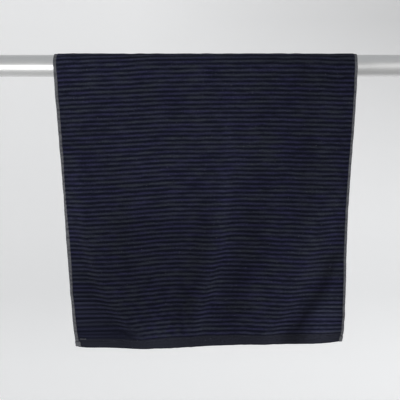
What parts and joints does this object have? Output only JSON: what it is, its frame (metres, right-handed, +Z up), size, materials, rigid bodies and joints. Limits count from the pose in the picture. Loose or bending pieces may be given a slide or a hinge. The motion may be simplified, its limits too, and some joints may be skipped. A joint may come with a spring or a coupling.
{
  "type": "bath towel on a round bar",
  "caption": "Dark navy ribbed bath towel with grey side bindings, folded in half over a round metal bar and hanging in soft folds.",
  "frame": {"origin": "centre of the bar's left end face", "axes": "X along the bar to the right as seen from the front, Y away from the viewer, Z up"},
  "size_m": [1, 0.1004, 0.7002],
  "materials": {
    "bar_metal": "satin, drawn along the bar",
    "terry": "matt cotton terry with raised cross ribs",
    "binding_tape": "matt woven tape, folded and stitched"
  },
  "bodies": {
    "root": {"bar": "bar_metal", "towel": "terry", "binding_left": "binding_tape", "binding_right": "binding_tape"}
  },
  "joints": []
}
